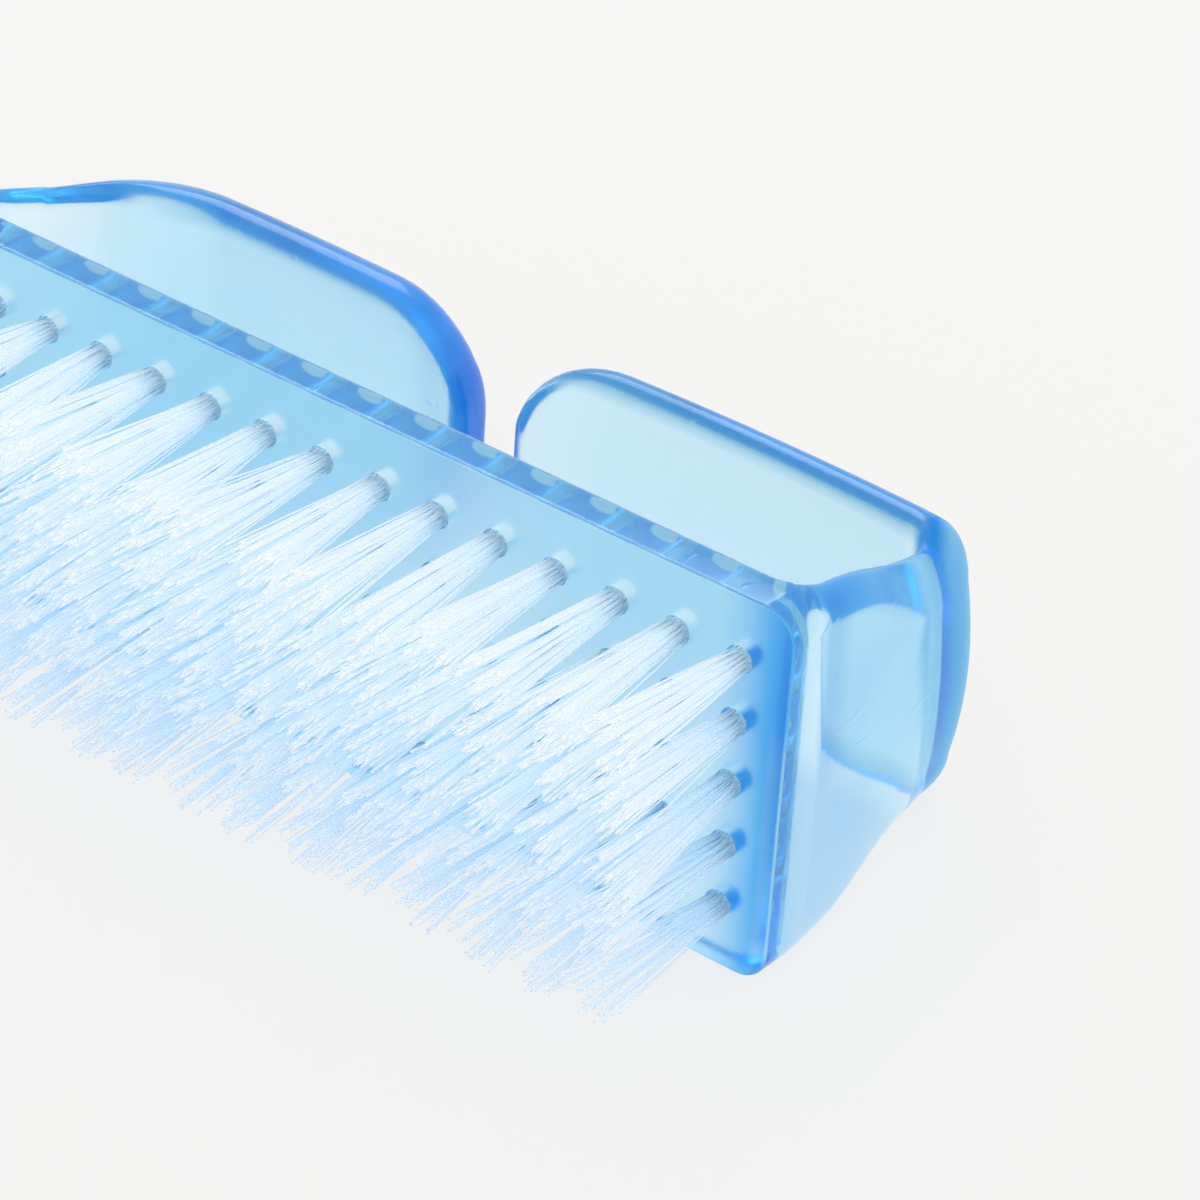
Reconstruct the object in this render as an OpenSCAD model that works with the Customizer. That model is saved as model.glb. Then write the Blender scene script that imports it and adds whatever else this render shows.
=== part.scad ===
// Clear blue nail brush: a one-piece moulding with a bristle block and a split strap handle,
// and bristle tufts held in blind holes by flat metal anchors. Millimetres.
// It lies on its long side: +X runs along the brush, the bristles point to -Y, +Z is up.

/* [Bristle block] */
// Rows of tufts across the width
rows = 5; // [3:1:6]
// Columns of tufts along the length
columns = 15; // [11:1:17]
// Spacing of the rows
row_pitch = 6; // [5.8:0.1:7]
// Spacing of the columns
column_pitch = 6.15; // [5.8:0.05:7]
// Plastic left beside the outer rows
side_margin = 6; // [5:0.5:8]
// Plastic left beyond the outer columns
end_margin = 5.1; // [4.5:0.1:8]
// Thickness of the block
block_t = 4.4; // [3.8:0.1:6]
// Height of the block's upright sides, above which the sides taper
upright_h = 4; // [2:0.1:5]
// Radius of the block's corners, seen from the bristles
plan_r = 5; // [3:0.5:6]

/* [Handle] */
// Height of the handle's back above the bristle face, where its arms are highest
handle_h = 28.6; // [26:0.1:34]
// Width of the handle at its back
handle_w = 25.5; // [22:0.1:30]
// Thickness of the arm at the near end, whose wall is upright
near_arm_t = 3.4; // [2.8:0.1:5]
// Thickness of the arm at the far end, whose wall leans in
far_arm_t = 4.8; // [3.5:0.1:6]
// How far the arms' arched backs fall from there to the slit
arch_drop = 1.6; // [0:0.1:2.5]
// Thickness of the walls that join the arms to the block
wall_t = 3; // [2.4:0.1:4]
// Width of the slit between the arms
slit_w = 4; // [2.5:0.5:8]
// Place of the slit's middle along the length, from the middle of the brush
slit_x = -1; // [-8:0.5:8]
// Radius of the arms' tips, seen from the back
tip_r = 10.5; // [5:0.5:11]
// How far the wall at the far end leans in at the height of the back
wall_lean = 7.1; // [3:0.1:9]

/* [Tufts] */
// Length of the bristles outside the block
bristle_l = 17; // [12:0.5:22]
// How far a tuft spreads at its tips, from its axis
bristle_spread = 2.6; // [1:0.1:2.7]
// Diameter of the tuft holes
hole_d = 2.6; // [2:0.1:3]
// Depth of the tuft holes
hole_depth = 2.8; // [2.2:0.1:3.4]

/* [Anchors] */
// Thickness of the flat metal anchor in each tuft
anchor_t = 0.35; // [0.25:0.05:0.5]
// Depth of the anchor along the hole
anchor_h = 1.3; // [1:0.1:1.6]
// Turn of the anchors from the length of the brush, in degrees
anchor_turn = -20; // [-45:5:45]

/* [Hidden] */
$fn = 48;

// Sizes of the block and the handle
block_l = (columns - 1) * column_pitch + 2 * end_margin;
block_w = (rows - 1) * row_pitch + 2 * side_margin;
taper = atan((block_w - handle_w) / 2 / (handle_h - upright_h));
back_edge_r = 2.4;
side_clear = 0.3;
near_back_r = 3.5;
far_back_r = 10;
near_foot_r = 2.5;
near_inner_r = 3.5;
far_foot_r = 4;
far_inner_r = 12;
far_lean = wall_lean / (handle_h - upright_h);
// Where the arms are highest, as a share of the way from the middle of the brush to its end
arch_share = 0.54;
arch_x = arch_share * block_l / 2;
// How far from the middle the arch runs before the straight stretch up to the back's corner, and
// the same for the arms' undersides
near_arch = block_l / 2 - 2 * near_back_r;
far_arch = block_l / 2 - wall_lean - far_back_r;
near_under_arch = block_l / 2 - wall_t - 2 * near_inner_r;
far_under_arch = block_l / 2 - wall_t - wall_lean - far_inner_r;
// The arms are widest at their lowest, where the sides have tapered least
arm_low = handle_h - arch_drop - far_arm_t;
arm_w = block_w - 2 * (arm_low - upright_h) * tan(taper);
overrun = 1;
reach = block_l;
arc_steps = 8;
arch_steps = 5;

// Sizes inside a tuft: strands of three sides rise from the sectors of a five-sided root
strands = 5;
fit_gap = 0.1;
root_r = hole_d / 2 - fit_gap;
root_drop = 0.4;
// How much of its sector of the root a strand still fills at its tip
tip_share = 0.4;
length_jitter_share = 0.1;
spread_jitter_share = 0.45;
turn_jitter = 10;
anchor_play = 0.05;
anchor_seat = 0.5;
anchor_l = 2 * sqrt(pow(hole_d / 2 - anchor_play, 2) - pow(anchor_t / 2, 2));

// The brush lies on its tapered side, so all of it leans back by the taper
rest_drop = block_w / 2 * cos(taper) + upright_h * sin(taper);
low_reach = (rows - 1) / 2 * row_pitch + bristle_spread;
front_y = -bristle_l * cos(taper) - low_reach * sin(taper);
back_y = (handle_h - back_edge_r) * cos(taper)
       + (handle_w / 2 - back_edge_r) * sin(taper) + back_edge_r;
middle_y = (front_y + back_y) / 2;

column_numbers = [1 : columns];

// Puts the upright brush, back to +Y and width along Z, down on its tapered side
module laid() {
    translate([0, -middle_y, rest_drop]) rotate([-taper, 0, 0]) children();
}

// Runs a flat outline drawn in length and height through the whole width
module through_width() {
    translate([0, 0, -reach / 2]) linear_extrude(reach) children();
}

// Runs a flat outline drawn in length and width along the height, from one level to another
module through_height(low, high) {
    translate([0, high, 0]) rotate([90, 0, 0]) linear_extrude(high - low) children();
}

function toward(a, b) = (b - a) / norm(b - a);
function turned(p, i, step) = p[(i + step + len(p)) % len(p)];
// Half of the corner's opening angle at point i of outline p
function half_angle(p, i) =
    acos(toward(p[i], turned(p, i, -1)) * toward(p[i], turned(p, i, 1))) / 2;
// Centre of the round of radius r in that corner
function round_centre(p, i, r) =
    p[i] + r / sin(half_angle(p, i))
         * toward([0, 0], toward(p[i], turned(p, i, -1)) + toward(p[i], turned(p, i, 1)));
// Where that round leaves the straight side that runs to the next or the last corner
function round_end(p, i, r, step) =
    p[i] + r / tan(half_angle(p, i)) * toward(p[i], turned(p, i, step));
function heading(v) = atan2(v[1], v[0]);
function shorter_turn(a) = a > 180 ? a - 360 : a < -180 ? a + 360 : a;
// The points of the round, from the side before the corner to the side after it
function round_points(p, i, r) =
    let (c = round_centre(p, i, r))
    let (start = heading(round_end(p, i, r, -1) - c))
    let (sweep = shorter_turn(heading(round_end(p, i, r, 1) - c) - start))
    [for (s = [0 : arc_steps]) c + r * [cos(start + sweep * s / arc_steps),
                                        sin(start + sweep * s / arc_steps)]];
// Outline p with each corner rounded to its radius in radii
function rounded(p, radii) =
    [for (i = [0 : len(p) - 1]) each radii[i] > 0 ? round_points(p, i, radii[i]) : [p[i]]];

// The point at x, depth below the arched back, which is a parabola highest at arch_x on both sides
function back_point(x, depth = 0) =
    [x, handle_h - depth - arch_drop * pow((abs(x) - arch_x) / arch_x, 2)];

// Side view of the moulding without its opening: one wall upright, the far one leaning in
module outer_outline() {
    near_back = [for (s = [arch_steps : -1 : 1]) back_point(near_arch * s / arch_steps)];
    far_back = [for (s = [0 : arch_steps]) back_point(-far_arch * s / arch_steps)];
    arch = concat(near_back, far_back);
    polygon(rounded(
        concat(
            [[-block_l / 2, 0], [block_l / 2, 0], back_point(block_l / 2)],
            arch,
            [back_point(-block_l / 2 + wall_lean), [-block_l / 2, upright_h]]
        ),
        concat([0, 0, near_back_r], [for (p = arch) 0], [far_back_r, 0])
    ));
}

// End view of the moulding: upright block sides, and a back with rounded edges. Between the two
// the tapered sides are cut by the side stock, so here the outline stays clear of them.
module end_outline() {
    back_z = handle_w / 2 + side_clear;
    polygon(rounded(
        [
            [-overrun, -block_w / 2],
            [-overrun, block_w / 2],
            [upright_h + side_clear, block_w / 2],
            [handle_h, back_z],
            [handle_h, -back_z],
            [upright_h + side_clear, -block_w / 2]
        ],
        [0, 0, 0, back_edge_r, back_edge_r, 0]
    ));
}

// Stock with one tapered side, whose two upright corners are rounded
module side_stock() {
    translate([0, upright_h, -block_w / 2]) rotate([taper, 0, 0])
        through_height(-reach / 2, reach / 2) polygon(rounded(
            [
                [-block_l / 2, 0],
                [block_l / 2, 0],
                [block_l / 2, reach],
                [-block_l / 2, reach]
            ],
            [plan_r, plan_r, 0, 0]
        ));
}

// The finger opening under the arms, through the whole width. Its top follows their arched backs,
// with a step in the slit, where the thickness changes from one arm's to the other's.
module opening_space() {
    far_top_x = -block_l / 2 + wall_t + far_lean * (handle_h - far_arm_t - upright_h);
    near_under = [
        for (s = [arch_steps : -1 : 0])
            back_point(slit_x + (near_under_arch - slit_x) * s / arch_steps, near_arm_t)
    ];
    far_under = [
        for (s = [0 : arch_steps])
            back_point(slit_x - (far_under_arch + slit_x) * s / arch_steps, far_arm_t)
    ];
    arch = concat(near_under, far_under);
    polygon_points = rounded(
        concat(
            [
                [-block_l / 2 + wall_t, block_t],
                [block_l / 2 - wall_t, block_t],
                back_point(block_l / 2 - wall_t, near_arm_t)
            ],
            arch,
            [back_point(far_top_x, far_arm_t)]
        ),
        concat([far_foot_r, near_foot_r, near_inner_r], [for (p = arch) 0], [far_inner_r])
    );
    through_width() polygon(polygon_points);
}

// One arm's tip seen from the back, with its end on the X origin and the arm toward +X
module arm_tip() {
    polygon(rounded(
        [
            [0, -arm_w / 2],
            [reach, -arm_w / 2],
            [reach, arm_w / 2],
            [0, arm_w / 2]
        ],
        [tip_r, 0, 0, tip_r]
    ));
}

// What the slit takes away between the two rounded tips
module slit_space() {
    through_height((block_t + arm_low) / 2, handle_h + overrun) difference() {
        translate([slit_x - slit_w / 2 - tip_r, -block_w / 2])
            square([slit_w + 2 * tip_r, block_w]);
        translate([slit_x + slit_w / 2, 0]) arm_tip();
        translate([slit_x - slit_w / 2, 0]) mirror([1, 0]) arm_tip();
    }
}

function column_x(c) = (c - (columns + 1) / 2) * column_pitch;
function row_z(r) = (r - (rows + 1) / 2) * row_pitch;

// Places its children at each hole mouth of a column, with their +Z along the bristles
module at_column(c) {
    for (r = [1 : rows]) translate([column_x(c), 0, row_z(r)]) rotate([90, 0, 0]) children();
}

module tuft_holes() {
    for (c = column_numbers) at_column(c)
        translate([0, 0, -hole_depth]) cylinder(d = hole_d, h = hole_depth + overrun);
}

// The one-piece moulding: block, end walls and both handle arms
module body() {
    color([0.40, 0.72, 0.93, 0.6]) laid() difference() {
        intersection() {
            through_width() outer_outline();
            rotate([90, 0, 90]) translate([0, 0, -reach]) linear_extrude(2 * reach) end_outline();
            side_stock();
            mirror([0, 0, 1]) side_stock();
        }
        opening_space();
        slit_space();
        tuft_holes();
    }
}

// A fixed scatter between -1 and 1 for strand k of the tuft numbered n
function scatter(n, k, kind) = sin(n * 137.5 + k * 83.3 + kind * 211.7 + n * k * 61.9);
function ring_point(r, turn, z) = [r * cos(turn), r * sin(turn), z];
function sector_turn(k) = k * 360 / strands;
// Where the middle of strand k's tip is
function tip_middle(n, k) = ring_point(
    bristle_spread * (1 - spread_jitter_share * (1 + scatter(n, k, 1)) / 2),
    sector_turn(k + 1 / 2) + turn_jitter * scatter(n, k, 2),
    bristle_l * (1 - length_jitter_share * (1 + scatter(n, k, 3)) / 2)
);
// The tip's corners: those of sector k of the root, drawn together and moved out to the tip
function tip_corners(n, k) =
    let (corners = [
        [0, 0, 0],
        ring_point(root_r, sector_turn(k), 0),
        ring_point(root_r, sector_turn(k + 1), 0)
    ])
    let (middle = (corners[0] + corners[1] + corners[2]) / 3)
    [for (p = corners) tip_middle(n, k) + (p - middle) * tip_share];

// One tuft: its root fills the hole up to just under the face, and the strands fan out from it
module tuft(n) {
    sectors = [0 : strands - 1];
    points = concat(
        [for (k = sectors) ring_point(root_r, sector_turn(k), -hole_depth)],
        [for (k = sectors) ring_point(root_r, sector_turn(k), -root_drop)],
        [[0, 0, -root_drop]],
        [for (k = sectors) each tip_corners(n, k)]
    );
    centre = 2 * strands;
    floor_faces = [for (k = [1 : strands - 2]) [0, k, k + 1]];
    sector_faces = [
        for (k = sectors)
            let (next = (k + 1) % strands)
            let (foot = [centre, strands + k, strands + next])
            let (tip = centre + 1 + 3 * k)
            each concat(
                [[k, strands + next, next], [k, strands + k, strands + next]],
                [[tip, tip + 2, tip + 1]],
                [
                    for (e = [0 : 2])
                        let (f = (e + 1) % 3)
                        each [[foot[e], tip + f, foot[f]], [foot[e], tip + e, tip + f]]
                ]
            )
    ];
    polyhedron(points, concat(floor_faces, sector_faces));
}

// A flat plate that stands in the tuft's root, grown on every side by the given play
module anchor_plate(play) {
    size = [anchor_l + 2 * play, anchor_t + 2 * play, anchor_h + 2 * play];
    translate([0, 0, anchor_seat - hole_depth - play]) rotate([0, 0, anchor_turn])
        translate([-size[0] / 2, -size[1] / 2, 0]) cube(size);
}

// The tufts of one column, each slotted for its anchor
module tuft_column(c) {
    color([0.93, 0.96, 0.98]) laid() for (r = [1 : rows])
        translate([column_x(c), 0, row_z(r)]) rotate([90, 0, 0]) difference() {
            tuft((c - 1) * rows + r);
            anchor_plate(anchor_play);
        }
}

// The anchors of one column
module anchor_column(c) {
    color([0.78, 0.76, 0.70]) laid() at_column(c) anchor_plate(0);
}

body();
for (c = column_numbers) {
    tuft_column(c);
    anchor_column(c);
}
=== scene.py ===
import math

import bmesh
import bpy
import numpy as np
from mathutils import Matrix, Vector


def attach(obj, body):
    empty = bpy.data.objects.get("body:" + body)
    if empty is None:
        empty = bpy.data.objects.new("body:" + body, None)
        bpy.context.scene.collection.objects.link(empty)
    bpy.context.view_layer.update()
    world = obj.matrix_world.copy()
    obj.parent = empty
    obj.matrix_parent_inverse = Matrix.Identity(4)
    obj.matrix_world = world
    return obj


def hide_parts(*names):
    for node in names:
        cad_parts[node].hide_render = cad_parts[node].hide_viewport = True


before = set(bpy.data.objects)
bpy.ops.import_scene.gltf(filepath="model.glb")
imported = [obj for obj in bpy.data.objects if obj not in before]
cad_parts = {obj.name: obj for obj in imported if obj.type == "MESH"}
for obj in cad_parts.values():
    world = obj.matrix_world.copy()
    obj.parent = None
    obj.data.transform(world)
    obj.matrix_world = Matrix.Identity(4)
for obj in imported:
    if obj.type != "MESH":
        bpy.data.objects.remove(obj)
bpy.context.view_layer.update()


# The brush lying on its side
#
# The brush is drawn upright in millimetres: x along it, h up from the bristle face to the back
# of the handle, w across. On the table it rests on one tapered side, so it is turned by the taper.
BLOCK_HALF_L, BLOCK_HALF_W, UPRIGHT_H = 48.15, 18.0, 4.0
HANDLE_H, HANDLE_HALF_W = 28.6, 12.75
TAPER = math.atan((BLOCK_HALF_W - HANDLE_HALF_W) / (HANDLE_H - UPRIGHT_H))
MIDDLE_Y, REST_DROP = 5.255, BLOCK_HALF_W * math.cos(TAPER) + UPRIGHT_H * math.sin(TAPER)


def lay_down(x, h, w):
    """Metres in the row frame of upright points: a turn about x by the taper, then a shift that
    brings the tapered side onto the floor and the middle of the brush over the origin."""
    x, h, w = np.broadcast_arrays(x, h, w)
    y = h * math.cos(TAPER) + w * math.sin(TAPER) - MIDDLE_Y
    z = -h * math.sin(TAPER) + w * math.cos(TAPER) + REST_DROP
    return np.stack([x, y, z], axis=-1) / 1000.0


# The moulding
#
# One injection moulding of clear blue plastic: the drilled bristle block, two end walls and the
# two arms of the strap handle. The arms are arched and their rounded tips leave a slit between
# them. The far wall leans in. All edges are rounded but those of the bristle face.
BACK_H, BLOCK_T, WALL_T = 27.0, 4.4, 3.0
TIP_ROUND, TIP_EDGE, EDGE_SHARE, RIM_EDGE, FACE_EDGE = 10.5, 1.6, 0.55, 1.3, 0.25
CORNER_AT_FACE, CORNER_LOW, CORNER_HIGH = 3.0, 8.0, 18.0
ARCH_X, ARCH_FROM, ARCH_FULL, DOME = 26.0, 11.0, 22.0, 0.8
NEAR_END = dict(tip=1.2, arm_t=3.4, lean=0.0, bulge=0.35, arch=1.6, back_r=3.5, corner_r=6.5,
                inner_r=3.5, foot_r=2.5)
FAR_END = dict(tip=3.2, arm_t=4.8, lean=0.2886, bulge=0.0, arch=1.4, back_r=10.0, corner_r=3.6,
               inner_r=12.0, foot_r=4.0)
TAPER_SOFT, DOME_ON_ARM, DOME_ON_WALL = 0.6, 8.0, 14.0
FACE_EDGE_OUT, FACE_EDGE_IN = 1.5, 1.0
CAP_STEPS, OUTER_STEPS, RIM_STEPS, WALL_STEPS = 20, 9, 6, 12
# How many points each stretch of the outline has
STEPS = dict(tip=4, edge=8, plan=14, arm=16, lead=6, back=24, leave=5, inner=26, wall=8, low=8,
             upright=7, face=6, under=12, inward=7, foot=8, block=20)
FAR_OUT, PAST_ARC, APART, TINY = 99.0, 0.5, 1.2, 1e-9
SEWN_WITHIN, NO_LENGTH, SHARP_FROM = 5e-7, 1e-7, 38


def rounding(r, d):
    """What an edge of radius r takes off a face at distance d from the edge:
    r - sqrt(r^2 - (r - d)^2), and nothing beyond r."""
    u = np.clip(r - d, 0.0, r)
    return r - np.sqrt(np.maximum(r * r - u * u, 0.0))


def eased(a, b, n):
    """n places from a to b, close together at a: a + (b - a) (1 - cos t), t from 0 to 90
    degrees."""
    return a + (b - a) * (1 - np.cos(np.linspace(0, math.pi / 2, n)))


def corner_arc(corner, before, after, r, n):
    """Centre and n points of the arc of radius r that touches the lines from corner toward
    before and after."""
    p, a, b = (np.array(v, float) for v in (corner, before, after))
    a, b = (a - p) / np.linalg.norm(a - p), (b - p) / np.linalg.norm(b - p)
    half = math.acos(np.clip(a @ b, -1, 1)) / 2
    centre = p + (a + b) / np.linalg.norm(a + b) * r / math.sin(half)
    ends = [p + v * r / math.tan(half) - centre for v in (a, b)]
    t = np.linspace(0, 1, n)[:, None]
    sweep = math.pi - 2 * half
    points = (np.sin((1 - t) * sweep) * ends[0] + np.sin(t * sweep) * ends[1]) / math.sin(sweep)
    return centre, centre + points


def line(a, b, t):
    """Points a + (b - a) t."""
    a, b = np.array(a, float), np.array(b, float)
    return a + (b - a) * np.asarray(t, float)[:, None]


def smooth(t):
    """0 below t = 0, 1 above t = 1, and t^2 (3 - 2 t) between."""
    t = np.clip(t, 0.0, 1.0)
    return t * t * (3 - 2 * t)


def wall_place(h, lean, bulge):
    """How far out the end wall's outer face is at height h: upright as far as the taper, then
    leaning in, and bulging by bulge 4 s (1 - s) with s = h / BACK_H."""
    s = np.clip(h / BACK_H, 0, 1)
    return BLOCK_HALF_L - lean * np.maximum(h - UPRIGHT_H, 0) + bulge * 4 * s * (1 - s)


def arched(points, arch):
    """The outline with its arm arched: h grows by arch (1 - ((u - ARCH_X) / ARCH_X)^2) on the
    arm, and by less and less down the wall."""
    u, h = points.T
    rise = arch * (1 - ((u - ARCH_X) / ARCH_X) ** 2)
    return np.stack([u, h + rise * smooth((h - ARCH_FROM) / (ARCH_FULL - ARCH_FROM))], 1)


def half_outline(tip, arm_t, lean, bulge, arch, back_r, corner_r, inner_r, foot_r):
    """Matched points of the outer and inner outline, from an arm's tip round its wall to the
    middle of the block, in (u, h) with u outward. kind is 0 on the arm, 1 at the corner of the
    back, 2 beyond it. turn runs from 0 to 1 round that corner."""
    under = BACK_H - arm_t
    mid = BACK_H - arm_t / 2
    foot_u = BLOCK_HALF_L - WALL_T
    outer_top = np.array([BLOCK_HALF_L - lean * (BACK_H - UPRIGHT_H), BACK_H])
    outer_foot = np.array([BLOCK_HALF_L, UPRIGHT_H])
    inner_top = (foot_u - lean * (under - UPRIGHT_H), under)
    inner_foot = (foot_u, BLOCK_T)
    top_c, top_in = corner_arc(inner_top, (0, under), inner_foot, inner_r, STEPS["inner"])
    foot_c, foot_in = corner_arc(inner_foot, inner_top, (0, BLOCK_T), foot_r, STEPS["foot"])

    def toward(points, centre, r):
        """The points of the circle round centre that lie toward the given points."""
        v = points - centre
        return centre + r * v / np.linalg.norm(v, axis=1)[:, None]

    parts = []
    # The tip's end face, from its middle to the rounded edges
    t = np.linspace(0, 1, STEPS["tip"])[:-1]
    parts.append((line((tip, mid), (tip, BACK_H - TIP_EDGE), t),
                  line((tip, mid), (tip, under + TIP_EDGE), t), 0))
    n = STEPS["edge"]
    _, edge_out = corner_arc((tip, BACK_H), (tip, 0), (FAR_OUT, BACK_H), TIP_EDGE, n)
    _, edge_in = corner_arc((tip, under), (tip, BACK_H), (FAR_OUT, under), TIP_EDGE, n)
    parts.append((edge_out[:-1], edge_in[:-1], 0))
    # The arm
    plan = tip + eased(0, TIP_ROUND, STEPS["plan"])
    u = np.concatenate([[tip + TIP_EDGE], plan[plan > tip + TIP_EDGE * APART],
                        np.linspace(tip + TIP_ROUND, top_c[0], STEPS["arm"])[1:-1]])
    parts.append((np.stack([u, np.full_like(u, BACK_H)], 1),
                  np.stack([u, np.full_like(u, under)], 1), 0))
    # The corner between the back and the wall
    _, back_arc = corner_arc(outer_top, (0, BACK_H), outer_foot, back_r, STEPS["back"])
    wall_way = (outer_foot - outer_top) / np.linalg.norm(outer_foot - outer_top)
    last = outer_top + wall_way * max((top_c - outer_top) @ wall_way,
                                      np.linalg.norm(back_arc[-1] - outer_top) + PAST_ARC)
    start = min(top_c[0], back_arc[0][0] - PAST_ARC)
    lead = line((start, BACK_H), back_arc[0], np.linspace(0, 1, STEPS["lead"])[:-1])
    leave = line(back_arc[-1], last, np.linspace(0, 1, STEPS["leave"])[1:])
    outer = np.concatenate([lead, back_arc, leave])
    parts.append((outer, toward(outer, top_c, inner_r), 1))
    # The wall
    first_in, last_in = top_in[-1], foot_in[0]
    out_last = last + wall_way * np.linalg.norm(last_in - first_in)
    t = np.linspace(0, 1, STEPS["wall"])[1:]
    parts.append((line(last, out_last, t), line(first_in, last_in, t), 2))
    # The foot, round the crisp edge between the wall and the bristle face
    _, crisp = corner_arc((BLOCK_HALF_L, 0), (BLOCK_HALF_L, BLOCK_T), (0, 0), FACE_EDGE,
                          STEPS["face"])
    down = np.concatenate([np.linspace(out_last[1], UPRIGHT_H, STEPS["low"])[1:],
                           eased(FACE_EDGE, UPRIGHT_H, STEPS["upright"])[::-1][1:-1]])
    past = CORNER_AT_FACE + 1
    u = np.concatenate([BLOCK_HALF_L - eased(FACE_EDGE, past, STEPS["under"])[1:],
                        np.linspace(BLOCK_HALF_L - past, foot_c[0], STEPS["inward"])[1:]])
    outer = np.concatenate([np.stack([wall_place(down, lean, 0), down], 1), crisp,
                            np.stack([u, np.zeros_like(u)], 1)])
    parts.append((outer, toward(outer, foot_c, foot_r), 2))
    # The block
    u = np.linspace(foot_c[0], 0, STEPS["block"])[1:]
    parts.append((np.stack([u, np.zeros_like(u)], 1),
                  np.stack([u, np.full_like(u, BLOCK_T)], 1), 2))

    outer = np.concatenate([p[0] for p in parts])
    inner = np.concatenate([p[1] for p in parts])
    kind = np.concatenate([np.full(len(p[0]), p[2]) for p in parts])
    turn = np.where(kind == 0, 0.0, 1.0)
    at = np.flatnonzero(kind == 1)
    turn[at] = np.linspace(0, 1, len(at))
    outer[:, 0] += (wall_place(outer[:, 1], 0, bulge) - BLOCK_HALF_L) * smooth(turn)
    return arched(outer, arch), arched(inner, arch), kind, turn


def corner_radius(h, at_back):
    """Radius of the upright corners: small at the block, changing to at_back at the back."""
    grown = smooth((h - CORNER_LOW) / (CORNER_HIGH - CORNER_LOW))
    return CORNER_AT_FACE + (at_back - CORNER_AT_FACE) * grown


def half_body(end):
    """The closed loops of half the moulding, one per pair of outline points, as (u, h, w).

    Each loop goes over the +w side from the inner to the outer outline, down the outer wall,
    back over the -w side and up the inner wall. A side's half width is the block's, less the
    taper, less the rounding of each edge near it. The outer wall is domed outward by
    DOME (1 - t^2), t from -1 to 1 across it."""
    outer, inner, kind, turn = half_outline(**end)
    span = np.linalg.norm(inner - outer, axis=1)
    away = np.stack([-np.gradient(outer[:, 1]), np.gradient(outer[:, 0])], 1)
    away /= np.maximum(np.linalg.norm(away, axis=1), TINY)[:, None]
    on_wall = smooth((outer[:, 1] - UPRIGHT_H) / DOME_ON_WALL)
    domed = np.where(kind == 0, smooth((outer[:, 0] - end["tip"] - 1) / DOME_ON_ARM),
                     np.where(kind == 1, 1.0, on_wall))
    kind, turn, wide = kind[:, None], turn[:, None], np.maximum(span, TINY)[:, None]
    back_edge = EDGE_SHARE * end["arm_t"]
    rim_edge = end["arm_t"] - back_edge + (RIM_EDGE - end["arm_t"] + back_edge) * smooth(turn)
    at_face = outer[:, 1:] < TINY
    r_in = np.minimum(np.where(at_face, FACE_EDGE_IN, rim_edge), wide / 2)
    r_out = back_edge + (end["corner_r"] - back_edge) * smooth(turn)
    reach = np.minimum(np.where(at_face, FACE_EDGE_OUT, r_out), wide - r_in)
    near_outer = reach * (1 - np.cos(np.linspace(0, math.pi / 2, OUTER_STEPS)))[None]
    near_inner = wide - r_in * (1 - np.cos(np.linspace(math.pi / 2, 0, RIM_STEPS)))[None]
    steps = np.linspace(0, 1, CAP_STEPS - OUTER_STEPS - RIM_STEPS + 2)[None, 1:-1]
    between = reach + (wide - r_in - reach) * steps
    d = np.concatenate([near_outer, between, near_inner], axis=1)
    share = d / wide
    u = outer[:, :1] + (inner[:, :1] - outer[:, :1]) * share
    h = outer[:, 1:] + (inner[:, 1:] - outer[:, 1:]) * share

    rise = h - UPRIGHT_H
    tapered = (rise + np.sqrt(rise * rise + TAPER_SOFT * TAPER_SOFT)) / 2
    side = BLOCK_HALF_W - math.tan(TAPER) * tapered
    from_wall = (wall_place(h, end["lean"], end["bulge"]) - u) * math.cos(math.atan(end["lean"]))
    corner_r = np.where(kind == 2, corner_radius(h, end["corner_r"]), r_out)
    w = (side - rounding(corner_r, np.where(kind == 2, from_wall, d)) - rounding(r_in, wide - d)
         - np.where(kind == 0, rounding(TIP_ROUND, u - end["tip"]), 0.0)
         - np.where(kind == 2, rounding(FACE_EDGE, h), 0.0))

    t = np.linspace(1, -1, WALL_STEPS + 1)[None, 1:-1]
    outer_w, inner_w = w[:, :1] * t, w[:, -1:] * -t
    ones = np.ones_like(outer_w)
    dome = DOME * domed[:, None] * (1 - t * t)
    outer_u, outer_h = u[:, :1] + away[:, :1] * dome, h[:, :1] + away[:, 1:] * dome
    loop_u = np.concatenate([u[:, ::-1], outer_u, u, u[:, -1:] * ones], axis=1)
    loop_h = np.concatenate([h[:, ::-1], outer_h, h, h[:, -1:] * ones], axis=1)
    loop_w = np.concatenate([w[:, ::-1], outer_w, -w, inner_w], axis=1)
    return loop_u, loop_h, loop_w


def grid_mesh(name, points, quads):
    """A mesh of the points and quads, in metres."""
    mesh = bpy.data.meshes.new(name)
    mesh.from_pydata(points.reshape(-1, 3), [], quads.reshape(-1, 4))
    mesh.update()
    return mesh


def tube_quads(rings, sides):
    """Quads between neighbouring rings of a grid whose rings are closed."""
    a = np.arange(rings * sides).reshape(rings, sides)
    b = np.roll(a, -1, axis=1)
    return np.stack([a[:-1], b[:-1], b[1:], a[1:]], axis=-1)


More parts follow.
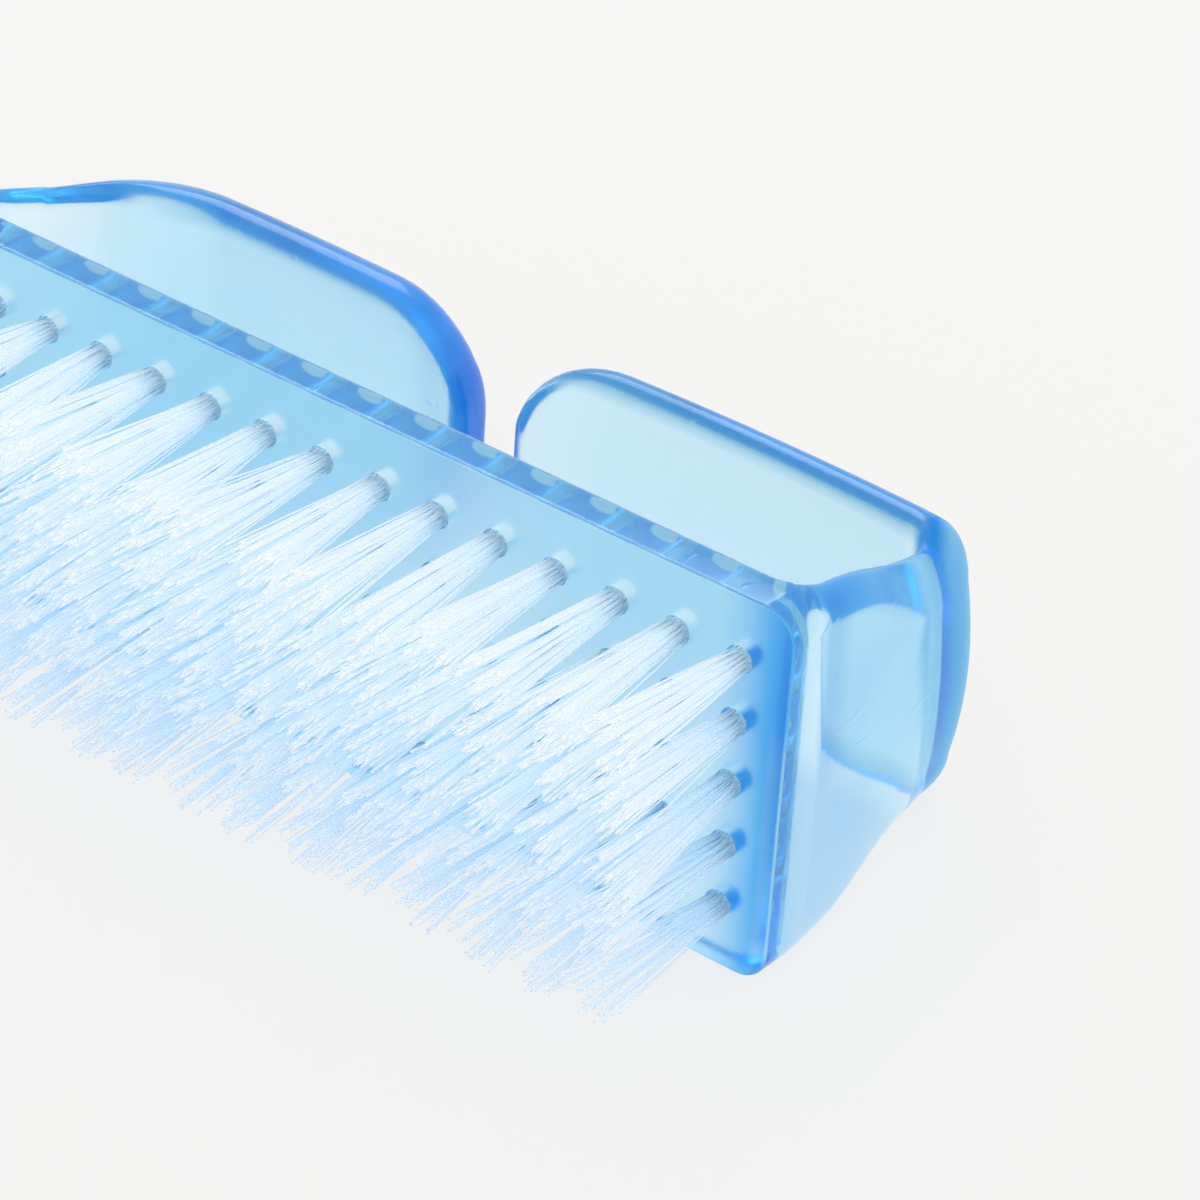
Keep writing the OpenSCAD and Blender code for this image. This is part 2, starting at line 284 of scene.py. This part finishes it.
def moulding_mesh():
    """Near and far half joined at the block's middle, sewn shut along both tips."""
    u, h, w = half_body(NEAR_END)
    far_u, far_h, far_w = half_body(FAR_END)
    x = np.concatenate([u, -far_u[-2::-1]])
    h = np.concatenate([h, far_h[-2::-1]])
    w = np.concatenate([w, far_w[-2::-1]])
    points = lay_down(x, h, w)
    mesh = grid_mesh("moulding", points, tube_quads(*x.shape))
    sewn = bmesh.new()
    sewn.from_mesh(mesh)
    bmesh.ops.remove_doubles(sewn, verts=sewn.verts, dist=SEWN_WITHIN)
    bmesh.ops.dissolve_degenerate(sewn, edges=sewn.edges, dist=NO_LENGTH)
    bmesh.ops.recalc_face_normals(sewn, faces=sewn.faces)
    if sewn.calc_volume(signed=True) < 0:
        bmesh.ops.reverse_faces(sewn, faces=sewn.faces)
    sewn.to_mesh(mesh)
    sewn.free()
    return mesh


ROWS, COLUMNS, ROW_PITCH, COLUMN_PITCH = 5, 15, 6.0, 6.15
HOLE_R, HOLE_DEPTH, DRILL_SIDES, DRILL_FROM = 1.3, 2.8, 26, -1.0


def hole_places():
    """x and w of every tuft hole, column by column."""
    x = (np.arange(COLUMNS) - (COLUMNS - 1) / 2) * COLUMN_PITCH
    w = (np.arange(ROWS) - (ROWS - 1) / 2) * ROW_PITCH
    return np.stack(np.meshgrid(x, w, indexing="ij"), axis=-1)


def drill_mesh(sides):
    """A round plug for every hole: rings at the hole's floor and 1 mm before the face, with both
    ends closed."""
    places = hole_places().reshape(-1, 2)
    turn = np.arange(sides) * 2 * math.pi / sides
    depth = np.array([HOLE_DEPTH, DRILL_FROM])
    x = places[:, 0, None, None] + HOLE_R * np.cos(turn)[None, None]
    w = places[:, 1, None, None] + HOLE_R * np.sin(turn)[None, None]
    ring = lay_down(x, depth[None, :, None], w)
    mesh = bpy.data.meshes.new("drills")
    base = np.arange(len(places)) * 2 * sides
    side = (base[:, None, None] + tube_quads(2, sides).reshape(1, -1, 4)).reshape(-1, 4)
    ends = [list(b + np.arange(sides)[::-1]) for b in base]
    ends += [list(b + sides + np.arange(sides)) for b in base]
    mesh.from_pydata(ring.reshape(-1, 3), [], [list(q) for q in side] + ends)
    mesh.update()
    turned = bmesh.new()
    turned.from_mesh(mesh)
    bmesh.ops.recalc_face_normals(turned, faces=turned.faces)
    turned.to_mesh(mesh)
    turned.free()
    return mesh


moulding = bpy.data.objects.new("moulding", moulding_mesh())
bpy.context.scene.collection.objects.link(moulding)
drills = bpy.data.objects.new("drills", drill_mesh(DRILL_SIDES))
bpy.context.scene.collection.objects.link(drills)
cut = moulding.modifiers.new("holes", "BOOLEAN")
cut.object, cut.operation, cut.solver = drills, "DIFFERENCE", "EXACT"
drilled = bpy.data.meshes.new_from_object(
    moulding.evaluated_get(bpy.context.evaluated_depsgraph_get()))
moulding.modifiers.clear()
moulding.data = drilled
bpy.data.objects.remove(drills)
drilled.shade_smooth()
drilled.set_sharp_from_angle(angle=math.radians(SHARP_FROM))
flats = moulding.modifiers.new("flats stay flat", "WEIGHTED_NORMAL")
flats.keep_sharp = True


def node(tree, kind, inputs=None, **settings):
    """A new node of the kind with its settings. Each input is set to its value, or linked to it
    where the value is another node's output."""
    made = tree.nodes.new("ShaderNode" + kind)
    for name, value in settings.items():
        setattr(made, name, value)
    for name, value in (inputs or {}).items():
        if isinstance(value, bpy.types.NodeSocket):
            tree.links.new(value, made.inputs[name])
        else:
            made.inputs[name].default_value = value
    return made


def calc(tree, operation, *values, **settings):
    """The result of one math operation on numbers or outputs."""
    return node(tree, "Math", dict(enumerate(values)), operation=operation, **settings).outputs[0]


def dot(tree, place, way):
    """The dot product of a place with a fixed vector."""
    return node(tree, "VectorMath", {0: place, 1: way}, operation="DOT_PRODUCT").outputs["Value"]


def spread(tree, value, low, high, to_low=0.0, to_high=1.0, kind="LINEAR"):
    """From to_low to to_high as value goes from low to high, and no further."""
    inputs = {"Value": value, "From Min": low, "From Max": high,
              "To Min": to_low, "To Max": to_high}
    return node(tree, "MapRange", inputs, interpolation_type=kind).outputs["Result"]


def eased_in(tree, value, low, high, full=1.0):
    """From 0 to full as value goes from low to high, slow at both ends."""
    return spread(tree, value, low, high, 0.0, full, "SMOOTHSTEP")


def ramp(tree, value, stops):
    """A colour ramp over value, with its stops as (place, colour)."""
    made = node(tree, "ValToRGB", {"Fac": value})
    elements = made.color_ramp.elements
    elements[0].position, elements[0].color = stops[0]
    elements[1].position, elements[1].color = stops[-1]
    for place, colour in stops[1:-1]:
        elements.new(place).color = colour
    return made


def grey(value):
    """The colour of one grey value."""
    return (value, value, value, 1)


def mixed_colour(tree, share, first, second):
    """first, changed to second by the share."""
    inputs = {"Factor": share, "A": first, "B": second}
    return node(tree, "Mix", inputs, data_type="RGBA").outputs["Result"]


def mixed(tree, share, first, second):
    """The shader first, changed to second by the share."""
    return node(tree, "MixShader", {"Fac": share, 1: first, 2: second}).outputs["Shader"]


def clear(tree, colour):
    """A shader that lets light straight through, tinted."""
    return node(tree, "BsdfTransparent", {"Color": colour}).outputs["BSDF"]


PLASTIC_TINT, TINT_DENSITY, PLASTIC_IOR = (0.0, 0.725, 0.96, 1), 92.0, 1.5
FACE_ROUGH, SMOOTH_ROUGH, ARM_ROUGH = 0.4, 0.08, 0.22
# Painted shade: the face over the end walls, and the end walls toward the table and at their foot,
# get deeper blues below
OVER_WALL_PAINTED_SHADE, FOOT_PAINTED_SHADE = (0.06, 0.44, 0.94, 1), (0.46, 0.66, 0.87, 1)
# The rims' colour below is painted shade, a greyer blue
RIM_PAINTED_SHADE, FOLD_WHITE = (0.34, 0.6, 0.78, 1), (0.95, 0.98, 1.0, 1)
LEAVING_TINT, CORNER_TINT = (0.9, 0.97, 1.0, 1), (0.62, 0.83, 0.96, 1)
SHADOW_TINT = (0.92, 0.97, 1.0, 1)
RIPPLE_SCALE, RIPPLE_DETAIL, RIPPLE_STRENGTH, RIPPLE_DEPTH = 90.0, 1.5, 0.25, 0.0002
SCRATCH_SCALE, SCRATCH_TURN, SCRATCH_DETAIL = (700, 25, 700), (TAPER, 0, 0.12), 3.0
SCRATCH_STRENGTH, SCRATCH_DEPTH, SCRATCHED = 0.5, 0.000025, (0.66, 0.76)
FOOT_SLOPE, CORNER_CLEAR, MOST_TURNS = 0.82, 0.85, 5.5
# Where the look changes with the height above the bristle face, in millimetres. The nodes take
# this height as its share of SPAN_H.
SPAN_H, SATIN_FACE, POLISHED, SATIN_ARM = 30.0, 0.12, (0.3, 19.8), 22.8
FACE_H, FOOT_H, ARM_H, CORNER_H = 0.18, (3.9, 4.8, 6.0, 8.1), (19.8, 24.6), (20.7, 23.4)
FLOOR_WITHIN = 0.06
# Where it changes with the distance from the middle, along and across, or with the height above
# the table, in metres
OVER_WALL, AT_END, AT_CORNER = (0.0405, 0.0465), (0.0462, 0.0476), (0.0425, 0.0445)
AT_SIDE, AT_TABLE, DOWN_SLOPE = (0.0108, 0.0124), (0.0022, 0.0006), (0.0085, 0.0025)
FOLDS_HALF_W, FOLDS_HALF_L = 0.0145, 0.0447

clear_blue = bpy.data.materials.new("clear_blue_plastic")
clear_blue.use_nodes = True
tree = clear_blue.node_tree
plastic = tree.nodes["Principled BSDF"]
plastic.inputs["IOR"].default_value = PLASTIC_IOR
plastic.inputs["Transmission Weight"].default_value = 1.0
tint = node(tree, "VolumeAbsorption", {"Color": PLASTIC_TINT, "Density": TINT_DENSITY})
tree.links.new(tint.outputs["Volume"], tree.nodes["Material Output"].inputs["Volume"])
place = node(tree, "TexCoord").outputs["Object"]
face_height = (MIDDLE_Y * math.cos(TAPER) + REST_DROP * math.sin(TAPER)) / 1000
side_place = (MIDDLE_Y * math.sin(TAPER) - REST_DROP * math.cos(TAPER)) / 1000
height = dot(tree, place, (0, math.cos(TAPER), -math.sin(TAPER)))
share = spread(tree, height, -face_height, SPAN_H / 1000 - face_height)
axes = node(tree, "SeparateXYZ", {"Vector": place})
outward = calc(tree, "ABSOLUTE", axes.outputs["X"])
across = dot(tree, place, (0, math.sin(TAPER), math.cos(TAPER)))
sideways = calc(tree, "ABSOLUTE", calc(tree, "ADD", across, side_place))

# The bristle face and the arms are satin, the sides of the block and the walls are polished
satin = ramp(tree, share, [(0.0, grey(FACE_ROUGH)), (SATIN_FACE / SPAN_H, grey(FACE_ROUGH)),
                           (POLISHED[0] / SPAN_H, grey(SMOOTH_ROUGH)),
                           (POLISHED[1] / SPAN_H, grey(SMOOTH_ROUGH)),
                           (SATIN_ARM / SPAN_H, grey(ARM_ROUGH)), (1.0, grey(ARM_ROUGH))])
tree.links.new(satin.outputs["Color"], plastic.inputs["Roughness"])

# Over the end walls the face looks into deep plastic; its deeper blue there is painted shade
over_wall_shade = eased_in(tree, outward, *OVER_WALL)
on_face = calc(tree, "LESS_THAN", share, FACE_H / SPAN_H)
colour = mixed_colour(tree, calc(tree, "MULTIPLY", over_wall_shade, on_face), grey(1.0), OVER_WALL_PAINTED_SHADE)
# The end walls are painted a deeper blue toward the table and at their foot: painted shade
slope = dot(tree, place, (0, math.sin(TAPER) + FOOT_SLOPE * math.cos(TAPER),
                          math.cos(TAPER) - FOOT_SLOPE * math.sin(TAPER)))
slope_place = side_place + FOOT_SLOPE * face_height
toward_table = eased_in(tree, slope, *[s - slope_place for s in DOWN_SLOPE])
fading = [(h / SPAN_H, grey(full)) for h, full in zip(FOOT_H, (0.0, 1.0, 1.0, 0.0))]
foot = ramp(tree, share, [(0.0, grey(0.0)), *fading, (1.0, grey(0.0))])
at_end = eased_in(tree, outward, *AT_END)
lower_shade = calc(tree, "MAXIMUM", toward_table, foot.outputs["Color"])
colour = mixed_colour(tree, calc(tree, "MULTIPLY", lower_shade, at_end), colour, FOOT_PAINTED_SHADE)
# The arms along their sides, and the end walls' edges on the table, are painted a greyer blue:
# painted shade
at_side = eased_in(tree, sideways, *AT_SIDE)
on_arm = eased_in(tree, share, *[h / SPAN_H for h in ARM_H])
at_table = eased_in(tree, axes.outputs["Z"], *AT_TABLE)
rim_shade = calc(tree, "MULTIPLY_ADD", at_table, at_end, calc(tree, "MULTIPLY", at_side, on_arm),
           use_clamp=True)
colour = mixed_colour(tree, rim_shade, colour, RIM_PAINTED_SHADE)
tree.links.new(colour, plastic.inputs["Base Color"])

# Soft ripples from the mould, and fine scratches drawn along the brush
ripple = node(tree, "TexNoise", {"Vector": place, "Scale": RIPPLE_SCALE,
                                 "Detail": RIPPLE_DETAIL})
bump = node(tree, "Bump", {"Strength": RIPPLE_STRENGTH, "Distance": RIPPLE_DEPTH,
                           "Height": ripple.outputs["Fac"]})
drawn = node(tree, "Mapping", {"Vector": place, "Rotation": SCRATCH_TURN,
                               "Scale": SCRATCH_SCALE})
scuffs = node(tree, "TexNoise", {"Vector": drawn.outputs["Vector"], "Scale": 1.0,
                                 "Detail": SCRATCH_DETAIL})
scratch = spread(tree, scuffs.outputs["Fac"], *SCRATCHED)
scored = node(tree, "Bump", {"Strength": SCRATCH_STRENGTH, "Distance": SCRATCH_DEPTH,
                             "Height": scratch, "Normal": bump.outputs["Normal"]})
tree.links.new(scored.outputs["Normal"], plastic.inputs["Normal"])

# Light that has wandered inside long enough leaves it, as the plastic's faint haze lets it
rays = node(tree, "LightPath")
late = calc(tree, "GREATER_THAN", rays.outputs["Ray Depth"], MOST_TURNS)
surface = mixed(tree, late, plastic.outputs["BSDF"], clear(tree, LEAVING_TINT))
# Where the near arm turns into its wall, one looks along the arm and it hardly bends the light
near_end = eased_in(tree, axes.outputs["X"], *AT_CORNER, CORNER_CLEAR)
high = eased_in(tree, share, *[h / SPAN_H for h in CORNER_H])
corner = calc(tree, "MULTIPLY", near_end, high)
surface = mixed(tree, corner, surface, clear(tree, CORNER_TINT))
# The tufts' folds press on the floors of the holes, which look white through the plastic
at_floor = calc(tree, "COMPARE", share, HOLE_DEPTH / SPAN_H, FLOOR_WITHIN / SPAN_H)
inside = calc(tree, "LESS_THAN", sideways, FOLDS_HALF_W)
amid = calc(tree, "LESS_THAN", outward, FOLDS_HALF_L)
fold = calc(tree, "MULTIPLY", calc(tree, "MULTIPLY", at_floor, inside), amid)
white = node(tree, "BsdfDiffuse", {"Color": FOLD_WHITE})
surface = mixed(tree, fold, surface, white.outputs["BSDF"])
# Shadows are pale blue, as the light comes through
surface = mixed(tree, rays.outputs["Is Shadow Ray"], surface, clear(tree, SHADOW_TINT))
tree.links.new(surface, tree.nodes["Material Output"].inputs["Surface"])
drilled.materials.clear()
drilled.materials.append(clear_blue)
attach(moulding, "root")
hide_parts("body")


# The bristle tufts
#
# Each tuft is a bundle of clear nylon filament, folded in its middle and driven into its hole, so
# that both halves stand out. It is tight at the hole, fans out toward the tips and is cut level.
BRISTLE_L, SPREAD, REACH, FILAMENT_R, FILAMENTS = 17.0, 2.9, 3.35, 0.085, 54
CLUMPS, CLING, STRAYS, STRAY_OUT = 9, 0.5, 0.1, 1.15
ROOT_NOISE, CLUMP_NOISE, TIP_NOISE, SWAY, BOW = 0.06, 0.1, 0.1, 0.5, 0.1
UNEVEN, CUT_DOME, FLARE, WALL_GAP, FLOOR_GAP = 0.07, 0.05, 1.05, 0.05, 0.15
FAN_LEAST, FAN_MOST, THINNEST, THICKEST = 0.9, 1.05, 0.85, 1.12
GOLDEN_ANGLE, FULL_TURN, FIRST_SEED = 2.39996, 6.28, 100
SIDE_ON, FIBRE_SHARP_FROM = (1.0, 0.0, 0.2), 105
WAY = np.array([-0.16, 0.0, 0.12, 0.32, 0.55, 0.78, 0.975, 1.0])
GIRTH = np.array([1.0, 1.0, 1.0, 1.0, 1.0, 1.0, 1.0, 1.35])
RINGS, SIDES = len(WAY), 4


def tuft_filaments(places, rng):
    """Centre lines of all filaments of one column, as (filament, ring, 3) in (x, h, w).

    A filament keeps its place in the bundle inside the hole. Outside, its distance from the
    tuft's axis grows with a power of the way out, up to REACH, and a small random bow bends it
    sideways. Filaments cling together in clumps, but for a few strays that stand off."""
    n = len(places) * FILAMENTS
    centre = np.repeat(places, FILAMENTS, axis=0)
    index = np.tile(np.arange(FILAMENTS), len(places))
    r = np.sqrt((index + 0.5) / FILAMENTS)
    a = index * GOLDEN_ANGLE + np.repeat(rng.uniform(0, FULL_TURN, len(places)), FILAMENTS)
    root = np.stack([r * np.cos(a), r * np.sin(a)], 1)
    root += rng.normal(0, ROOT_NOISE, root.shape)
    sway = np.repeat(rng.normal(0, SWAY, (len(places), 2)), FILAMENTS, axis=0)
    length = BRISTLE_L * (1 - UNEVEN * rng.random(n)) - CUT_DOME * SPREAD * (root ** 2).sum(1)
    k = np.arange(CLUMPS) + 0.5
    clump = np.stack([np.cos(k * GOLDEN_ANGLE), np.sin(k * GOLDEN_ANGLE)], 1)
    clump *= np.sqrt(k / CLUMPS)[:, None]
    clump += rng.normal(0, CLUMP_NOISE, clump.shape)
    nearest = clump[np.argmin(((root[:, None] - clump[None]) ** 2).sum(2), axis=1)]
    free = rng.random((n, 1)) < STRAYS
    aim = np.where(free, root * STRAY_OUT, root + (nearest - root) * CLING)
    tip = aim * SPREAD * rng.uniform(FAN_LEAST, FAN_MOST, (n, 1)) + sway
    tip = np.clip(tip + rng.normal(0, TIP_NOISE, (n, 2)), -REACH, REACH)
    start = root * (HOLE_R - FILAMENT_R - WALL_GAP)
    outside = np.clip(WAY, 0, 1)
    out = outside ** FLARE
    bow = rng.normal(0, BOW, (n, 2))
    arch = 4 * outside * (1 - outside)
    across = (start[:, None] + (tip - start)[:, None] * out[None, :, None]
              + bow[:, None] * arch[None, :, None])
    h = -length[:, None] * WAY[None]
    h[:, 0] = HOLE_DEPTH - FLOOR_GAP
    across[:, 0] = start
    return np.stack([centre[:, :1] + across[..., 0], h, centre[:, 1:] + across[..., 1]], -1)


def filament_mesh(name, lines, rng):
    """Round each centre line, rings of SIDES points across its way at the filament's radius
    times GIRTH. The attribute "along" is the way out as a share of the length."""
    n = len(lines)
    radius = FILAMENT_R * rng.uniform(THINNEST, THICKEST, (n, 1, 1))
    way = np.gradient(lines, axis=1)
    way /= np.linalg.norm(way, axis=2, keepdims=True)
    across = np.cross(way, np.array(SIDE_ON))
    across /= np.linalg.norm(across, axis=2, keepdims=True)
    third = np.cross(way, across)
    turn = np.arange(SIDES) * 2 * math.pi / SIDES
    turn = turn[None] + rng.uniform(0, math.pi, (n, 1))
    c, s = np.cos(turn)[:, None, :, None], np.sin(turn)[:, None, :, None]
    girth = radius[..., None] * GIRTH[None, :, None, None]
    p = lines[:, :, None] + girth * (across[:, :, None] * c + third[:, :, None] * s)
    points = lay_down(p[..., 0], p[..., 1], p[..., 2]).reshape(-1, 3)
    per = RINGS * SIDES
    tube = tube_quads(RINGS, SIDES).reshape(1, -1, 4)[..., ::-1]
    start = (np.arange(n) * per)[:, None, None]
    tip = (per - SIDES + np.arange(SIDES))[None, None]
    foot = np.arange(SIDES)[::-1][None, None]
    quads = np.concatenate([start + tube, start + foot, start + tip[..., ::-1]], axis=1)
    mesh = grid_mesh(name, points, quads)
    along = np.tile(np.repeat(WAY, SIDES), n).astype(np.float32)
    mesh.attributes.new("along", "FLOAT", "POINT").data.foreach_set("value", along)
    mesh.shade_smooth()
    mesh.set_sharp_from_angle(angle=math.radians(FIBRE_SHARP_FROM))
    return mesh


# Colour and cover along a filament: a grey collar at the hole, which is painted shade where the
# filaments crowd into it, sheer beyond, a white cut tip. The share of cover is the fourth value.
COVER = [(0.0, (0.96, 0.985, 1.0, 0.7)), (0.038, (0.93, 0.96, 0.98, 0.7)),
         (0.06, (0.66, 0.7, 0.74, 0.75)), (0.098, (0.84, 0.88, 0.91, 0.7)),
         (0.195, (0.95, 0.98, 0.995, 0.62)), (0.53, (0.95, 0.975, 1.0, 0.58)),
         (0.94, (0.95, 0.975, 1.0, 0.58)), (0.978, (0.98, 0.99, 1.0, 0.85)),
         (1.0, (0.98, 0.99, 1.0, 0.85))]
COVER_FROM, GLOW_SHARE, SHEER, NO_SHADOW = -0.06, 0.5, (0.974, 0.986, 0.998, 1), 0.99
NYLON_ROUGH, NYLON_IOR = 0.28, 1.5

nylon = bpy.data.materials.new("nylon_bristle")
nylon.use_nodes = True
tree = nylon.node_tree
fibre = tree.nodes["Principled BSDF"]
along = node(tree, "Attribute", attribute_name="along").outputs["Fac"]
# The grey collar in this ramp is painted shade at the hole
colour_and_painted_shade = ramp(tree, spread(tree, along, COVER_FROM, 1.0), COVER)
tree.links.new(colour_and_painted_shade.outputs["Color"], fibre.inputs["Base Color"])
fibre.inputs["Roughness"].default_value = NYLON_ROUGH
fibre.inputs["IOR"].default_value = NYLON_IOR
fibre.inputs["Transmission Weight"].default_value = 0.0
glow = node(tree, "BsdfTranslucent", {"Color": colour_and_painted_shade.outputs["Color"]})
surface = mixed(tree, GLOW_SHARE, fibre.outputs["BSDF"], glow.outputs["BSDF"])
sheer = clear(tree, SHEER)
surface = mixed(tree, colour_and_painted_shade.outputs["Alpha"], sheer, surface)
rays = node(tree, "LightPath")
faint = calc(tree, "MULTIPLY", rays.outputs["Is Shadow Ray"], NO_SHADOW)
surface = mixed(tree, faint, surface, sheer)
tree.links.new(surface, tree.nodes["Material Output"].inputs["Surface"])

for column, places in enumerate(hole_places(), start=1):
    rng = np.random.default_rng(FIRST_SEED + column)
    lines = tuft_filaments(places, rng)
    mesh = filament_mesh(f"bristles_{column}", lines, rng)
    tufts = bpy.data.objects.new(f"bristles_{column}", mesh)
    bpy.context.scene.collection.objects.link(tufts)
    tufts.data.materials.append(nylon)
    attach(tufts, "root")
    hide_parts(f"tuft_column_{column}")


# The anchors
#
# Short lengths of flat bright wire, one pressed across each tuft's fold so that its ends bite
# into the hole. They are the CAD's own pieces, given the look of drawn metal.
GRAIN_SCALE, GRAIN_DETAIL, GRAIN_STRENGTH, GRAIN_DEPTH = (400, 3000, 3000), 4.0, 0.3, 0.00002
DARK_METAL, PALE_METAL = (0.5, 0.48, 0.44, 1), (0.72, 0.7, 0.66, 1)
METAL_ROUGH = (0.2, 0.42)
wire = bpy.data.materials.new("anchor_metal")
wire.use_nodes = True
tree = wire.node_tree
metal = tree.nodes["Principled BSDF"]
metal.inputs["Metallic"].default_value = 1.0
place = node(tree, "TexCoord").outputs["Object"]
drawn = node(tree, "Mapping", {"Vector": place, "Scale": GRAIN_SCALE})
grain = node(tree, "TexNoise", {"Vector": drawn.outputs["Vector"], "Scale": 1.0,
                                "Detail": GRAIN_DETAIL})
grain = grain.outputs["Fac"]
tone = ramp(tree, grain, [(0.3, DARK_METAL), (0.7, PALE_METAL)])
tree.links.new(tone.outputs["Color"], metal.inputs["Base Color"])
tree.links.new(spread(tree, grain, 0.0, 1.0, *METAL_ROUGH), metal.inputs["Roughness"])
lines = node(tree, "Bump", {"Strength": GRAIN_STRENGTH, "Distance": GRAIN_DEPTH,
                            "Height": grain})
tree.links.new(lines.outputs["Normal"], metal.inputs["Normal"])
for column in range(1, COLUMNS + 1):
    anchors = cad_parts[f"anchor_column_{column}"]
    anchors.data.materials.clear()
    anchors.data.materials.append(wire)


# The table, the light and the camera
#
# A plain white table under soft light from all round, and a large soft lamp behind the brush to
# the left, which puts the bright lines on the rims and throws the faint shadow to the right.
TABLE_HALF, PAPER_ROUGH, PAPER_SHINE = 3, 0.9, 0.1
PAPER, PAPER_GLOW = (0.923, 0.913, 0.898, 1), (0.889, 0.88, 0.866, 1)
SKY = (0.95, 0.955, 0.975, 1)
OPEN_SHARE, THROUGH_SHARE = 0.86, 0.5
LAMP_PLACE, LAMP_AIM, LAMP_SIZE, LAMP_POWER = (-0.55, 0.55, 0.75), (0, 0, 0.01), 0.7, 5.5
BOUNCES, DIFFUSE_BOUNCES = 32, 16
CAMERA_PLACE, FOCAL_LENGTH = (223.10, -269.76, 232.77), 150.0
AHEAD, ABOVE = (-0.4855, 0.6758, -0.5546), (-0.3773, 0.4102, 0.8303)
table = bpy.data.meshes.new("table")
corners = [(x * TABLE_HALF, y * TABLE_HALF, 0) for x, y in ((-1, -1), (1, -1), (1, 1), (-1, 1))]
table.from_pydata(corners, [], [(0, 1, 2, 3)])
table = bpy.data.objects.new("table", table)
bpy.context.scene.collection.objects.link(table)
paper = bpy.data.materials.new("paper")
paper.use_nodes = True
tree = paper.node_tree
lit = tree.nodes["Principled BSDF"]
lit.inputs["Base Color"].default_value = PAPER
lit.inputs["Roughness"].default_value = PAPER_ROUGH
lit.inputs["Specular IOR Level"].default_value = PAPER_SHINE
rays = node(tree, "LightPath").outputs
glow = mixed_colour(tree, rays["Is Camera Ray"], SKY, PAPER_GLOW)
seen = calc(tree, "MAXIMUM", rays["Is Camera Ray"], rays["Is Glossy Ray"])
share = calc(tree, "MAXIMUM", calc(tree, "MULTIPLY", seen, OPEN_SHARE),
             calc(tree, "MULTIPLY", rays["Is Transmission Ray"], THROUGH_SHARE))
plain = node(tree, "Emission", {"Color": glow})
surface = mixed(tree, share, lit.outputs["BSDF"], plain.outputs["Emission"])
tree.links.new(surface, tree.nodes["Material Output"].inputs["Surface"])
table.data.materials.append(paper)

world = bpy.data.worlds.new("studio")
bpy.context.scene.world = world
world.use_nodes = True
tree = world.node_tree
sky = tree.nodes["Background"]
sky.inputs["Color"].default_value = SKY
sky.inputs["Strength"].default_value = 1.0
shown = node(tree, "Background", {"Color": PAPER, "Strength": 1.0})
rays = node(tree, "LightPath").outputs
surface = mixed(tree, rays["Is Camera Ray"], sky.outputs["Background"], shown.outputs["Background"])
tree.links.new(surface, tree.nodes["World Output"].inputs["Surface"])


def soft_lamp(name, place, target, size, power):
    """A square area lamp at place, turned to target."""
    lamp = bpy.data.lights.new(name, "AREA")
    lamp.shape, lamp.size, lamp.energy = "SQUARE", size, power
    holder = bpy.data.objects.new(name, lamp)
    holder.location = place
    holder.rotation_mode = "QUATERNION"
    holder.rotation_quaternion = (Vector(target) - Vector(place)).to_track_quat("-Z", "Y")
    holder.visible_transmission = False
    bpy.context.scene.collection.objects.link(holder)


soft_lamp("window", LAMP_PLACE, LAMP_AIM, LAMP_SIZE, LAMP_POWER)


def upright_way(x, h, w):
    """A direction of the upright brush, in the row frame."""
    return Vector(lay_down(x, h, w) - lay_down(0, 0, 0)).normalized()


view = bpy.data.cameras.new("view")
view.sensor_width, view.lens = 36.0, FOCAL_LENGTH
view.clip_start, view.clip_end = 0.01, 50.0
camera = bpy.data.objects.new("view", view)
ahead, above = upright_way(*AHEAD), upright_way(*ABOVE)
right = ahead.cross(above).normalized()
above = right.cross(ahead)
turn = Matrix((right, above, -ahead)).transposed().to_4x4()
camera.matrix_world = Matrix.Translation(Vector(lay_down(*CAMERA_PLACE))) @ turn
bpy.context.scene.collection.objects.link(camera)
bpy.context.scene.camera = camera
bpy.context.scene.view_settings.view_transform = "Standard"
cycles = bpy.context.scene.cycles
cycles.max_bounces = cycles.transmission_bounces = cycles.glossy_bounces = BOUNCES
cycles.transparent_max_bounces = BOUNCES
cycles.diffuse_bounces = DIFFUSE_BOUNCES
